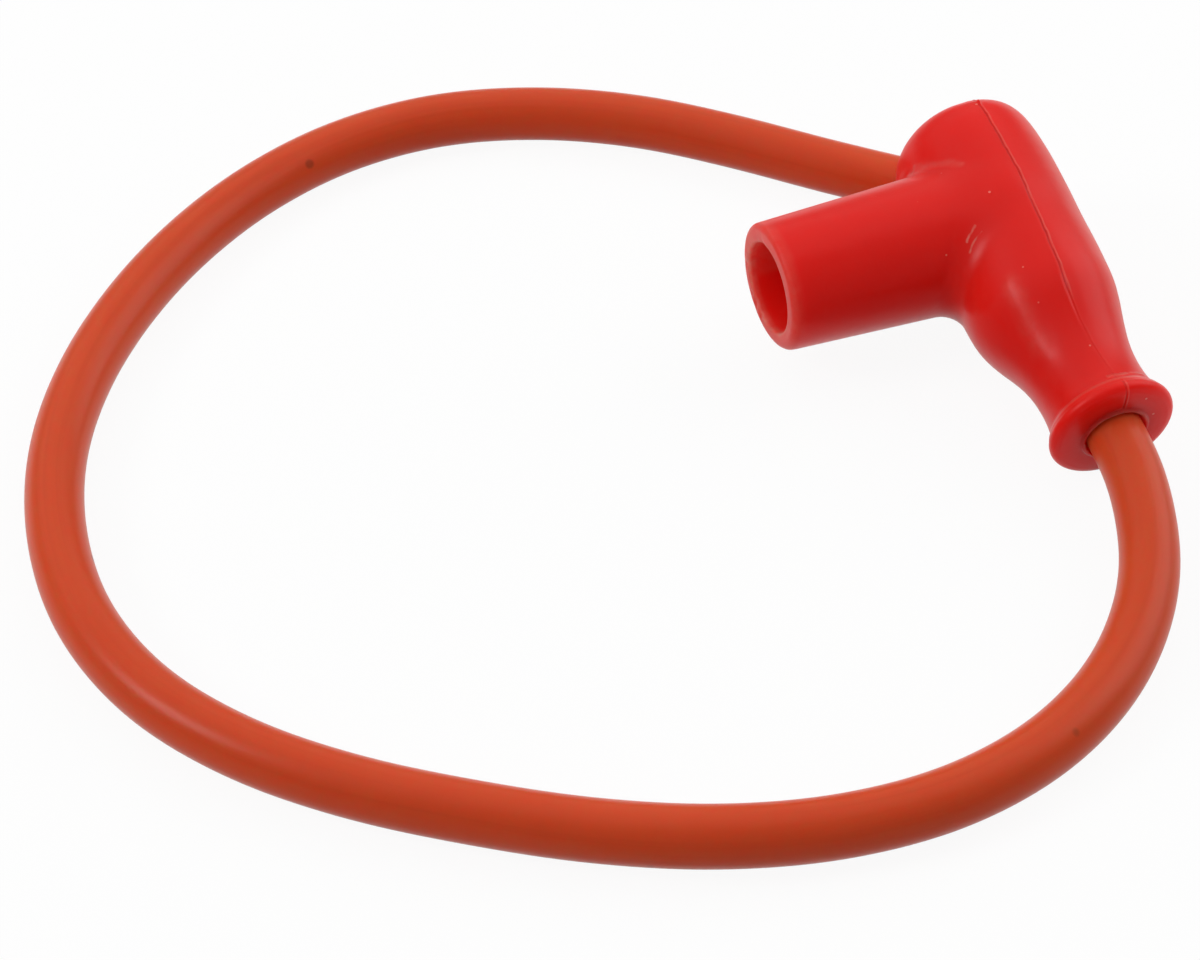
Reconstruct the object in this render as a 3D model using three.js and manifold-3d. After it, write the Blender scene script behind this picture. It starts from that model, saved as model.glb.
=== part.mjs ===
// Spark plug lead: a T-shaped silicone plug boot on a 7 mm silicone ignition cable that lies in one open loop.
// Inside the boot a brass socket snaps on the plug's terminal nut, and a crimped strap joins it to the cable.
// The boot lies on its side: +Z is up, the plug socket opens towards -X and the cable leaves towards -Y.
// The origin is the middle of the boot's underside. Sizes are in millimetres.
import * as THREE from "three";
import { mergeVertices } from "three/addons/utils/BufferGeometryUtils.js";
import Module from "manifold-3d";

const wasm = await Module();
wasm.setup();

// Cable, and the gap between pieces that touch on the real lead.
const CABLE_DIAMETER = 7;
const CORE_DIAMETER = 1.6;
const CLEARANCE = 0.3;
const CUT_OVERRUN = 1;

// Boot body, a round moulding on the cable's axis. Lengths run from the plug axis.
const HEAD_LENGTH = 14.6;
const HEAD_EXPONENT = 4.6;
const BODY_RADIUS = 9.6;
const BODY_HEIGHT_RATIO = 1.1;
const BELLY_LENGTH = 15;
const BELLY_RADIUS = 8.9;
const SHOULDER_LENGTH = 20;
const SHOULDER_RADIUS = 7.6;
const NECK_START = 26;
const NECK_RADIUS = 6.2;

// Flange round the cable's entry, at the end of the body.
const FLANGE_LENGTH = 34.7;
const FLANGE_RADIUS = 7.6;
const FLANGE_THICKNESS = 3.3;
const FLANGE_EDGE = 1.5;
const LIP_WIDTH = 0.9;

// Socket for the plug's insulator. It stands off the body at nearly a right angle.
const SOCKET_REACH = 31.4;
const SOCKET_MOUTH_RADIUS = 8.05;
const SOCKET_ROOT_RADIUS = 9.2;
const SOCKET_LEAN_DEG = 2.2;
const SOCKET_LIP_ROUND = 1.1;
const SOCKET_BORE_RADIUS = 5.7;
const SOCKET_BORE_INNER_RADIUS = 5.2;
const SOCKET_SHELF = 1;
const ROOT_FLARE_RATIO = 0.3;
const ROOT_FLARE_LENGTH = 3.6;

// How the boot lies: its cable end is lower than its head.
const DIP_DEG = 7;

// Brass socket on the plug axis. Depths run from the cable's axis towards the mouth.
const TERMINAL_MOUTH = 13.4;
const TERMINAL_BORE_RADIUS = 3.3;
const TERMINAL_WALL = 0.6;
const TERMINAL_BACK = 0.8;
const TERMINAL_FLOOR = 0.4;
const SLIT_WIDTH = 0.8;
const SLIT_END = 4.5;
const GROOVE_DEPTH = 0.3;
const CLIP_PLACE = 9;
const CLIP_WIRE_DIAMETER = 0.7;
const CLIP_OPENING_DEG = 50;
const RIVET_RADIUS = 1;
const RIVET_HEAD_RADIUS = 1.7;
const RIVET_HEAD_THICKNESS = 0.5;

// Crimp strap, bent from one strip of brass. Lengths run from the plug axis towards the cable.
const STRAP_THICKNESS = 0.6;
const PAD_HALF_WIDTH = 3;
const STEP_HALF_WIDTH = 1.5;
const CORE_CRIMP_START = 4.9;
const CORE_CRIMP_LENGTH = 3.6;
const STEP_LENGTH = 3;
const JACKET_CRIMP_LENGTH = 6;
const CRIMP_SEAM = 0.5;
const JACKET_SETBACK = 0.9;

// Cable's free run, from the flange round the loop to the cut end behind the boot's head.
const CABLE_RUN = [
  [8.7, -31.4, 6.50],
  [3.9, -44.0, 5.00],
  [-4.9, -54.3, 3.95],
  [-16.4, -61.3, 3.65],
  [-29.6, -64.6, 3.65],
  [-43.1, -64.1, 3.65],
  [-56.2, -60.6, 3.65],
  [-68.5, -54.9, 3.65],
  [-80.0, -47.7, 3.65],
  [-90.9, -39.6, 3.65],
  [-100.5, -30.0, 3.65],
  [-107.7, -18.6, 3.65],
  [-111.3, -5.5, 3.65],
  [-111.0, 8.0, 3.65],
  [-107.6, 21.1, 3.65],
  [-101.3, 33.1, 3.65],
  [-92.8, 43.7, 3.65],
  [-82.7, 52.7, 3.65],
  [-71.1, 59.8, 3.65],
  [-58.3, 64.2, 3.65],
  [-44.8, 64.9, 3.65],
  [-31.7, 61.5, 3.65],
  [-19.8, 55.1, 3.65],
  [-9.4, 46.5, 3.65],
  [0.0, 37.4, 3.65],
  [8.9, 29.3, 3.65],
];
const CABLE_STEPS = 48;
const CABLE_SIDES = 12;
const CORE_SIDES = 8;

const ROUND = 48;
const FINE_ROUND = 32;

// The cable's section has flat sides, which touch its true round surface.
const cableRadius = CABLE_DIAMETER / 2 / Math.cos(Math.PI / CABLE_SIDES);
const coreRadius = CORE_DIAMETER / 2;
const cableBoreRadius = cableRadius + CLEARANCE;
const coreBoreRadius = coreRadius + CLEARANCE;
const rad = THREE.MathUtils.degToRad;

const silicone = new THREE.MeshStandardMaterial({ name: "boot silicone", color: 0xcf2a28, roughness: 0.45 });
const jacket = new THREE.MeshStandardMaterial({ name: "cable silicone", color: 0xc94a30, roughness: 0.5 });
const brass = new THREE.MeshStandardMaterial({ name: "brass", color: 0xc9a45a, roughness: 0.35, metalness: 1 });
const steel = new THREE.MeshStandardMaterial({ name: "spring steel", color: 0x9a9da1, roughness: 0.3, metalness: 1 });
const copper = new THREE.MeshStandardMaterial({ name: "tinned copper", color: 0xb8aa9c, roughness: 0.4, metalness: 1 });

// A closed geometry as a solid that can be cut and joined.
function solid(geometry) {
  const bare = geometry.index ? geometry.toNonIndexed() : geometry.clone();
  bare.deleteAttribute("normal");
  bare.deleteAttribute("uv");
  const merged = mergeVertices(bare, 1e-4);
  const vertProperties = merged.attributes.position.array;
  const triVerts = new Uint32Array(merged.index.array);
  return new wasm.Manifold(new wasm.Mesh({ numProp: 3, vertProperties, triVerts }));
}

// The solid as a named mesh again.
function piece(name, made, material) {
  const { numProp, vertProperties, triVerts } = made.getMesh();
  const position = new Float32Array((vertProperties.length / numProp) * 3);
  for (let i = 0; i < position.length / 3; i++) {
    for (let k = 0; k < 3; k++) position[3 * i + k] = vertProperties[numProp * i + k];
  }
  const geometry = new THREE.BufferGeometry();
  geometry.setAttribute("position", new THREE.BufferAttribute(position, 3));
  geometry.setIndex(new THREE.BufferAttribute(new Uint32Array(triVerts), 1));
  geometry.computeVertexNormals();
  const mesh = new THREE.Mesh(geometry, material);
  mesh.name = name;
  return mesh;
}

// A revolved profile. Its points are [radius, length], and length runs down the cable axis, towards -Y.
function turnedOnCableAxis(points, segments) {
  const profile = points.map(([radius, length]) => new THREE.Vector2(radius, -length));
  return new THREE.LatheGeometry(profile.reverse(), segments);
}

// A revolved profile on the plug axis. Its points are [radius, reach], and reach runs out of the mouth, towards -X.
function turnedOnPlugAxis(points, segments) {
  const profile = points.map(([radius, reach]) => new THREE.Vector2(radius, reach));
  return new THREE.LatheGeometry(profile, segments).rotateZ(Math.PI / 2);
}

// What lies on the cable's axis leans with it, off the square to the plug axis.
function onCableAxis(geometry) {
  return geometry.rotateZ(-rad(SOCKET_LEAN_DEG));
}

// The points of an outline's curves, without the ends of its straight stretches twice.
function along(path, divisions) {
  return path.getPoints(divisions).map((p) => [p.x, p.y]);
}

// The body from the domed head to the flange's lip, in [radius, length].
function bodyOutline() {
  const dome = [];
  const domeSteps = 8;
  for (let i = 0; i <= domeSteps; i++) {
    const turn = (Math.PI / 2) * (i / domeSteps);
    const power = 2 / HEAD_EXPONENT;
    dome.push([BODY_RADIUS * Math.sin(turn) ** power, -HEAD_LENGTH * Math.cos(turn) ** power]);
  }
  dome[0][0] = 0;
  dome[domeSteps][1] = 0;
  const neckEnd = FLANGE_LENGTH - FLANGE_THICKNESS;
  const side = new THREE.Path();
  side.moveTo(BODY_RADIUS, 0);
  side.splineThru([
    new THREE.Vector2((BODY_RADIUS + BELLY_RADIUS) / 2, BELLY_LENGTH / 2),
    new THREE.Vector2(BELLY_RADIUS, BELLY_LENGTH),
    new THREE.Vector2(SHOULDER_RADIUS, SHOULDER_LENGTH),
    new THREE.Vector2(NECK_RADIUS, NECK_START),
    new THREE.Vector2(NECK_RADIUS, neckEnd),
  ]);
  const rim = new THREE.Path();
  const faceLength = FLANGE_LENGTH - FLANGE_EDGE / 2;
  const lipRadius = cableBoreRadius + LIP_WIDTH;
  rim.moveTo(FLANGE_RADIUS - FLANGE_EDGE / 2, neckEnd + FLANGE_EDGE / 4);
  rim.quadraticCurveTo(FLANGE_RADIUS, neckEnd + FLANGE_EDGE / 4, FLANGE_RADIUS, neckEnd + FLANGE_EDGE);
  rim.quadraticCurveTo(FLANGE_RADIUS, faceLength, FLANGE_RADIUS - FLANGE_EDGE, faceLength);
  rim.lineTo(lipRadius, FLANGE_LENGTH);
  const outline = [...dome, ...along(side, 2).slice(1), ...along(rim, 4)];
  outline.push([0, FLANGE_LENGTH]);
  return outline;
}

// The body is a little taller than it is wide, and round again at the neck.
function makeTaller(geometry) {
  const position = geometry.attributes.position;
  for (let i = 0; i < position.count; i++) {
    const neckness = THREE.MathUtils.smoothstep(-position.getY(i), BELLY_LENGTH, NECK_START);
    position.setZ(i, position.getZ(i) * THREE.MathUtils.lerp(BODY_HEIGHT_RATIO, 1, neckness));
  }
  return geometry;
}

// The socket widens along the body where it stands on it, as a moulding fillet does.
function flareRoot(geometry) {
  const position = geometry.attributes.position;
  const flareEnd = BODY_RADIUS + ROOT_FLARE_LENGTH;
  for (let i = 0; i < position.count; i++) {
    const reach = -position.getX(i);
    const near = THREE.MathUtils.clamp((flareEnd - reach) / ROOT_FLARE_LENGTH, 0, 1);
    position.setY(i, position.getY(i) * (1 + ROOT_FLARE_RATIO * near * near));
  }
  return geometry;
}

function boot() {
  const body = solid(onCableAxis(makeTaller(turnedOnCableAxis(bodyOutline(), ROUND))));

  const lipStart = SOCKET_REACH - SOCKET_LIP_ROUND;
  const flareEnd = BODY_RADIUS + ROOT_FLARE_LENGTH;
  const flare = [0, 0.25, 0.5, 0.75].map((share) => BODY_RADIUS + share * ROOT_FLARE_LENGTH);
  const radiusAt = (reach) => THREE.MathUtils.lerp(SOCKET_ROOT_RADIUS, SOCKET_MOUTH_RADIUS, reach / lipStart);
  const lip = new THREE.Path();
  lip.moveTo(SOCKET_MOUTH_RADIUS, lipStart);
  lip.quadraticCurveTo(SOCKET_MOUTH_RADIUS, SOCKET_REACH, SOCKET_MOUTH_RADIUS - SOCKET_LIP_ROUND, SOCKET_REACH);
  const socketOutline = [[0, 0], [SOCKET_ROOT_RADIUS, 0]];
  for (const reach of [...flare, flareEnd]) socketOutline.push([radiusAt(reach), reach]);
  socketOutline.push(...along(lip, 4), [0, SOCKET_REACH]);
  const socket = solid(flareRoot(turnedOnPlugAxis(socketOutline, ROUND)));

  const cableHole = solid(onCableAxis(turnedOnCableAxis([
    [0, 0],
    [cableBoreRadius, 0],
    [cableBoreRadius, FLANGE_LENGTH + CUT_OVERRUN],
    [0, FLANGE_LENGTH + CUT_OVERRUN],
  ], FINE_ROUND)));
  const pocketEnd = jacketCrimpStart + JACKET_CRIMP_LENGTH + CLEARANCE;
  const pocketRadius = Math.hypot(jacketCrimpRadius, STEP_HALF_WIDTH) + CLEARANCE;
  const pocket = solid(onCableAxis(turnedOnCableAxis([
    [0, -pocketRadius - CLEARANCE],
    [pocketRadius * 0.7, -pocketRadius],
    [pocketRadius, -pocketRadius * 0.7],
    [pocketRadius, pocketEnd],
    [0, pocketEnd],
  ], FINE_ROUND)));
  const plugHole = solid(turnedOnPlugAxis([
    [0, 0],
    [clipOuterRadius + CLEARANCE, 0],
    [clipOuterRadius + CLEARANCE, TERMINAL_MOUTH + SOCKET_SHELF],
    [SOCKET_BORE_INNER_RADIUS, TERMINAL_MOUTH + 2 * SOCKET_SHELF],
    [SOCKET_BORE_RADIUS, SOCKET_REACH - CUT_OVERRUN],
    [SOCKET_BORE_RADIUS, SOCKET_REACH + CUT_OVERRUN],
    [0, SOCKET_REACH + CUT_OVERRUN],
  ], FINE_ROUND));
  return body.add(socket).subtract(cableHole).subtract(pocket).subtract(plugHole);
}

const terminalOuterRadius = TERMINAL_BORE_RADIUS + TERMINAL_WALL;
const grooveRadius = terminalOuterRadius - GROOVE_DEPTH;
const clipCentreRadius = grooveRadius + CLEARANCE + CLIP_WIRE_DIAMETER / 2;
const clipOuterRadius = clipCentreRadius + CLIP_WIRE_DIAMETER / 2;
const strapLean = terminalOuterRadius * Math.sin(rad(SOCKET_LEAN_DEG));
const padFront = -TERMINAL_BACK - CLEARANCE - strapLean;
const padBack = padFront - STRAP_THICKNESS;
const jacketCrimpInner = cableRadius + CLEARANCE;
const jacketCrimpRadius = jacketCrimpInner + STRAP_THICKNESS;
const coreCrimpEnd = CORE_CRIMP_START + CORE_CRIMP_LENGTH;
const stepEnd = coreCrimpEnd + STEP_LENGTH;
const jacketCrimpStart = stepEnd + JACKET_SETBACK;
const jacketStart = stepEnd + CLEARANCE;

function plugTerminal() {
  const back = -TERMINAL_BACK;
  const rivetShoulder = padBack - CLEARANCE;
  const rivetEnd = rivetShoulder - RIVET_HEAD_THICKNESS;
  const grooveHalf = CLIP_WIRE_DIAMETER / 2 + CLEARANCE;
  const body = solid(turnedOnPlugAxis([
    [0, rivetEnd],
    [RIVET_HEAD_RADIUS, rivetEnd],
    [RIVET_HEAD_RADIUS, rivetShoulder],
    [RIVET_RADIUS, rivetShoulder],
    [RIVET_RADIUS, back],
    [terminalOuterRadius, back],
    [terminalOuterRadius, CLIP_PLACE - grooveHalf],
    [grooveRadius, CLIP_PLACE - grooveHalf],
    [grooveRadius, CLIP_PLACE + grooveHalf],
    [terminalOuterRadius, CLIP_PLACE + grooveHalf],
    [terminalOuterRadius, TERMINAL_MOUTH],
    [TERMINAL_BORE_RADIUS + TERMINAL_WALL / 2, TERMINAL_MOUTH],
    [TERMINAL_BORE_RADIUS, TERMINAL_MOUTH - TERMINAL_WALL],
    [TERMINAL_BORE_RADIUS, back + TERMINAL_FLOOR],
    [0, back + TERMINAL_FLOOR],
  ], FINE_ROUND));
  const slitLength = TERMINAL_MOUTH - SLIT_END + CUT_OVERRUN;
  const slit = new THREE.BoxGeometry(slitLength, SLIT_WIDTH, 2 * (terminalOuterRadius + CUT_OVERRUN));
  slit.translate(-SLIT_END - slitLength / 2, 0, 0);
  return body.subtract(solid(slit));
}

// A wire of round section bent along a path of points.
function bentWire(points, radius, sides, steps) {
  const section = new THREE.Shape();
  section.absarc(0, 0, radius, 0, 2 * Math.PI, false);
  const curve = new THREE.CatmullRomCurve3(points, false, "centripetal");
  return new THREE.ExtrudeGeometry(section, { steps, curveSegments: sides / 2, extrudePath: curve });
}

function terminalClip() {
  const points = [];
  const arcSteps = 24;
  const first = rad(90 + CLIP_OPENING_DEG / 2);
  const last = rad(90 + 360 - CLIP_OPENING_DEG / 2);
  for (let i = 0; i <= arcSteps; i++) {
    const turn = THREE.MathUtils.lerp(first, last, i / arcSteps);
    const y = clipCentreRadius * Math.cos(turn);
    const z = clipCentreRadius * Math.sin(turn);
    points.push(new THREE.Vector3(-CLIP_PLACE, y, z));
  }
  return solid(bentWire(points, CLIP_WIRE_DIAMETER / 2, 8, 36));
}

// A barrel rolled round the cable axis, with its seam facing the plug socket.
function crimpBarrel(inner, start, length) {
  const outer = inner + STRAP_THICKNESS;
  const half = Math.asin(CRIMP_SEAM / (2 * outer));
  const barrel = new THREE.Shape();
  barrel.absarc(0, 0, outer, Math.PI + half, 3 * Math.PI - half, false);
  barrel.absarc(0, 0, inner, 3 * Math.PI - half, Math.PI + half, true);
  const made = new THREE.ExtrudeGeometry(barrel, { depth: length, curveSegments: 12, bevelEnabled: false });
  return solid(onCableAxis(made.rotateX(Math.PI / 2).translate(0, -start, 0)));
}

function crimpStrap() {
  const pad = new THREE.Shape();
  pad.absarc(0, 0, PAD_HALF_WIDTH, 0, 2 * Math.PI, false);
  const eye = new THREE.Path();
  eye.absarc(0, 0, RIVET_RADIUS + CLEARANCE, 0, 2 * Math.PI, true);
  pad.holes.push(eye);
  const padMade = new THREE.ExtrudeGeometry(pad, { depth: STRAP_THICKNESS, curveSegments: 10, bevelEnabled: false });
  padMade.rotateY(Math.PI / 2).translate(-padFront, 0, 0);

  const coreFloor = -(coreBoreRadius + STRAP_THICKNESS);
  const jacketFloor = -jacketCrimpRadius;
  const side = new THREE.Shape();
  const padReach = PAD_HALF_WIDTH - STRAP_THICKNESS;
  side.moveTo(padBack, padReach);
  side.lineTo(coreFloor, CORE_CRIMP_START);
  side.lineTo(coreFloor, coreCrimpEnd);
  side.lineTo(jacketFloor, stepEnd);
  side.lineTo(jacketFloor, jacketCrimpStart + STRAP_THICKNESS);
  side.lineTo(jacketFloor + STRAP_THICKNESS, jacketCrimpStart + STRAP_THICKNESS);
  side.lineTo(jacketFloor + STRAP_THICKNESS, stepEnd);
  side.lineTo(coreFloor + STRAP_THICKNESS, coreCrimpEnd);
  side.lineTo(coreFloor + STRAP_THICKNESS, CORE_CRIMP_START);
  side.lineTo(padFront, padReach);
  const web = new THREE.ExtrudeGeometry(side, { depth: 2 * STEP_HALF_WIDTH, bevelEnabled: false });
  web.translate(0, 0, -STEP_HALF_WIDTH).rotateZ(Math.PI);
  return solid(padMade).add(solid(onCableAxis(web)))
    .add(crimpBarrel(coreBoreRadius, CORE_CRIMP_START, CORE_CRIMP_LENGTH))
    .add(crimpBarrel(jacketCrimpInner, jacketCrimpStart, JACKET_CRIMP_LENGTH));
}

// The cable's line: straight on the boot's axis as far as the flange, and then its free run.
function cablePath() {
  const up = new THREE.Vector3(0, 0, 1);
  const stops = [jacketStart, (jacketStart + FLANGE_LENGTH) / 2, FLANGE_LENGTH];
  const inside = stops.map((length) => {
    const point = new THREE.Vector3(0, -length, 0).applyAxisAngle(up, -rad(SOCKET_LEAN_DEG));
    return bootGroup.localToWorld(point);
  });
  const run = CABLE_RUN.map((p) => new THREE.Vector3(...p));
  return new THREE.CatmullRomCurve3([...inside, ...run], false, "centripetal");
}

function cableJacket() {
  const section = new THREE.Shape();
  section.absarc(0, 0, cableRadius, 0, 2 * Math.PI, false);
  const bore = new THREE.Path();
  bore.absarc(0, 0, coreBoreRadius, 0, 2 * Math.PI, true);
  section.holes.push(bore);
  const curveSegments = CABLE_SIDES / 2;
  return solid(new THREE.ExtrudeGeometry(section, { steps: CABLE_STEPS, curveSegments, extrudePath: cablePath() }));
}

// The stranded conductor. Its stripped end lies in the strap's small barrel.
function cableCore() {
  const section = new THREE.Shape();
  section.absarc(0, 0, coreRadius, 0, 2 * Math.PI, false);
  const curveSegments = CORE_SIDES / 2;
  const run = new THREE.ExtrudeGeometry(section, { steps: CABLE_STEPS, curveSegments, extrudePath: cablePath() });
  const strippedLength = jacketStart - CORE_CRIMP_START + CUT_OVERRUN;
  const stripped = new THREE.CylinderGeometry(coreRadius, coreRadius, strippedLength, CORE_SIDES);
  stripped.translate(0, -CORE_CRIMP_START - strippedLength / 2, 0);
  const placed = onCableAxis(stripped).applyMatrix4(bootGroup.matrixWorld);
  return solid(run).add(solid(placed));
}

const bootGroup = new THREE.Group();
bootGroup.add(piece("boot", boot(), silicone));
bootGroup.add(piece("plug_terminal", plugTerminal(), brass));
bootGroup.add(piece("terminal_clip", terminalClip(), steel));
bootGroup.add(piece("crimp_strap", crimpStrap(), brass));

// The boot is turned as it lies, and moved so that the middle of its underside is the origin.
bootGroup.rotation.x = rad(DIP_DEG);
const bootBox = new THREE.Box3().setFromObject(bootGroup, true);
const bootMiddle = bootBox.getCenter(new THREE.Vector3());
bootGroup.position.set(-bootMiddle.x, -bootMiddle.y, -bootBox.min.z);
bootGroup.updateMatrixWorld(true);

const lead = new THREE.Group();
lead.add(bootGroup);
lead.add(piece("cable_jacket", cableJacket(), jacket));
lead.add(piece("cable_core", cableCore(), copper));

export default lead;
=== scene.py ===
"""Spark plug lead: a red T-shaped silicone plug boot on an orange 7 mm silicone ignition cable, in one open loop.

The boot lies on its side. The plug socket opens towards -X, and the cable leaves the flange towards -Y.
"""
import math

import bmesh
import bpy
import numpy as np
from mathutils import Matrix, Vector


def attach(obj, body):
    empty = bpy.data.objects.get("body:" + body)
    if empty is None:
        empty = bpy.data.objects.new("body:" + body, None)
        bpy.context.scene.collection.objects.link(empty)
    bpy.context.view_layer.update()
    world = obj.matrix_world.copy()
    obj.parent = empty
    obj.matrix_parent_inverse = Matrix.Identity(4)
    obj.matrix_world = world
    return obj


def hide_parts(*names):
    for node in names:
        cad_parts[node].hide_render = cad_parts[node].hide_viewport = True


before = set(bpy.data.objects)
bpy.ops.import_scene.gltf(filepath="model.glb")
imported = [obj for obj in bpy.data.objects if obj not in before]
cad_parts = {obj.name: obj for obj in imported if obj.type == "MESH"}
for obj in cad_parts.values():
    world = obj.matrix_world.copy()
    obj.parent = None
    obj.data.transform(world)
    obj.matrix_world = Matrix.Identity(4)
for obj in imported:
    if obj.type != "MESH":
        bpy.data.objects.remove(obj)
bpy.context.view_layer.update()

MM = 0.001


# Camera, floor and lamps.
# The lead is photographed from above, at 45 degrees, on a white sweep. A broad soft lamp hangs above and behind it, so
# its upper side is bright and the side that faces the camera is in a deep red shade. Two small ones light its flanks.
def linear(hex_colour):
    """An sRGB hex value as linear red, green, blue and alpha."""
    parts = [int(hex_colour[i:i + 2], 16) / 255 for i in (1, 3, 5)]
    return [c / 12.92 if c <= 0.04045 else ((c + 0.055) / 1.055) ** 2.4 for c in parts] + [1.0]


def add_node(tree, kind, sockets=None, **settings):
    """A node with its settings. An entry of sockets is an input's value, or the output that feeds it."""
    node = tree.nodes.new(kind)
    for name, value in settings.items():
        setattr(node, name, value)
    for socket, value in (sockets or {}).items():
        if isinstance(value, bpy.types.NodeSocket):
            tree.links.new(value, node.inputs[socket])
        else:
            node.inputs[socket].default_value = value
    return node


def bare_material(name):
    """A material whose node tree is empty."""
    material = bpy.data.materials.new(name)
    material.use_nodes = True
    material.node_tree.nodes.clear()
    return material


camera_data = bpy.data.cameras.new("camera")
camera_data.sensor_width = 36
camera_data.lens = 95.48
camera_data.clip_start = 0.01
camera = bpy.data.objects.new("camera", camera_data)
camera.location = (-0.14525, -0.25342, 0.27034)
camera.rotation_euler = Vector((0.2563, 0.6574, -0.7086)).to_track_quat("-Z", "Y").to_euler()
bpy.context.scene.collection.objects.link(camera)
bpy.context.scene.camera = camera
bpy.context.scene.view_settings.view_transform = "Standard"

FLOOR_HALF = 1.5
floor_mesh = bpy.data.meshes.new("floor")
floor_mesh.from_pydata([(x * FLOOR_HALF, y * FLOOR_HALF, 0) for x, y in ((-1, -1), (1, -1), (1, 1), (-1, 1))], [],
                       [(0, 1, 2, 3)])
floor = bpy.data.objects.new("floor", floor_mesh)
bpy.context.scene.collection.objects.link(floor)

# White paper for the eye, and a grey sweep for the light that it throws back up at the lead.
paper = bare_material("white sweep paper")
tree = paper.node_tree
rays = add_node(tree, "ShaderNodeLightPath")
lit = add_node(tree, "ShaderNodeBsdfDiffuse", {"Color": linear("#ffffff")})
glow = add_node(tree, "ShaderNodeEmission", {"Color": (1, 1, 1, 1), "Strength": 1.0})
seen = add_node(tree, "ShaderNodeMixShader", {0: 0.93, 1: lit.outputs[0], 2: glow.outputs[0]})
dull = add_node(tree, "ShaderNodeBsdfDiffuse", {"Color": linear("#dadada")})
first = add_node(tree, "ShaderNodeMath", {0: rays.outputs["Is Camera Ray"], 1: rays.outputs["Is Glossy Ray"]},
                 operation="MAXIMUM")
white_ray = add_node(tree, "ShaderNodeMath", {0: first.outputs[0], 1: rays.outputs["Is Transmission Ray"]},
                     operation="MAXIMUM")
mixed = add_node(tree, "ShaderNodeMixShader", {0: white_ray.outputs[0], 1: dull.outputs[0], 2: seen.outputs[0]})
add_node(tree, "ShaderNodeOutputMaterial", {"Surface": mixed.outputs[0]})
floor_mesh.materials.append(paper)

world = bpy.data.worlds.new("studio")
bpy.context.scene.world = world
world.use_nodes = True
tree = world.node_tree
tree.nodes.clear()
rays = add_node(tree, "ShaderNodeLightPath")
room = add_node(tree, "ShaderNodeBackground", {"Color": (1, 1, 1, 1), "Strength": 0.25})
white = add_node(tree, "ShaderNodeBackground", {"Color": (1, 1, 1, 1), "Strength": 1.0})
both = add_node(tree, "ShaderNodeMixShader", {
    0: rays.outputs["Is Camera Ray"], 1: room.outputs[0], 2: white.outputs[0]})
add_node(tree, "ShaderNodeOutputWorld", {"Surface": both.outputs[0]})

LAMPS = {
    "softbox above and behind": ((-0.02, 0.38, 0.68), (1.4, 1.27), 3.15),
    "softbox at the right": ((0.62, 0.05, 0.40), (0.60, 0.60), 2.3),
    "softbox at the left": ((-0.65, 0.10, 0.50), (0.26, 0.26), 1.9),
}
LIT_POINT = Vector((-0.03, 0.0, 0.0))
for name, (place, size, watts) in LAMPS.items():
    lamp_data = bpy.data.lights.new(name, "AREA")
    lamp_data.shape = "RECTANGLE"
    lamp_data.size, lamp_data.size_y = size
    lamp_data.energy = watts
    lamp = bpy.data.objects.new(name, lamp_data)
    lamp.location = place
    lamp.rotation_euler = (LIT_POINT - Vector(place)).to_track_quat("-Z", "Y").to_euler()
    bpy.context.scene.collection.objects.link(lamp)


# Cable jacket: orange silicone rubber, extruded round the conductor and cut square.
# It leaves the boot's flange a little above the floor, comes down to it, and lies in one open loop that ends behind
# the boot's head. The route is the one that the solids follow.
DIP = math.radians(7)
LEAN = math.radians(2.2)
JUNCTION = Vector((0.010806, 0.010008, 0.011550))
boot_frame = Matrix.Translation(JUNCTION) @ Matrix.Rotation(DIP, 4, "X")
body_frame = boot_frame @ Matrix.Rotation(-LEAN, 4, "Z")
CABLE_RADIUS = 3.5 * MM
CORE_BORE_RADIUS = 0.92 * MM
FLANGE_LENGTH = 34.7 * MM
JACKET_START = 11.8 * MM
LINE_STEP = 0.5 * MM
BEND_EVENING = 2.5 * MM
CABLE_RUN = [
    (0.0087, -0.0314, 0.00650), (0.0039, -0.0440, 0.00500), (-0.0049, -0.0543, 0.00395), (-0.0164, -0.0613, 0.00365),
    (-0.0296, -0.0646, 0.00365), (-0.0431, -0.0641, 0.00365), (-0.0562, -0.0606, 0.00365), (-0.0685, -0.0549, 0.00365),
    (-0.0800, -0.0477, 0.00365), (-0.0909, -0.0396, 0.00365), (-0.1005, -0.0300, 0.00365), (-0.1077, -0.0186, 0.00365),
    (-0.1113, -0.0055, 0.00365), (-0.1110, 0.0080, 0.00365), (-0.1076, 0.0211, 0.00365), (-0.1013, 0.0331, 0.00365),
    (-0.0928, 0.0437, 0.00365), (-0.0827, 0.0527, 0.00365), (-0.0711, 0.0598, 0.00365), (-0.0583, 0.0642, 0.00365),
    (-0.0448, 0.0649, 0.00365), (-0.0317, 0.0615, 0.00365), (-0.0198, 0.0551, 0.00365), (-0.0094, 0.0465, 0.00365),
    (0.0000, 0.0374, 0.00365), (0.0089, 0.0293, 0.00365),
]


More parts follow.
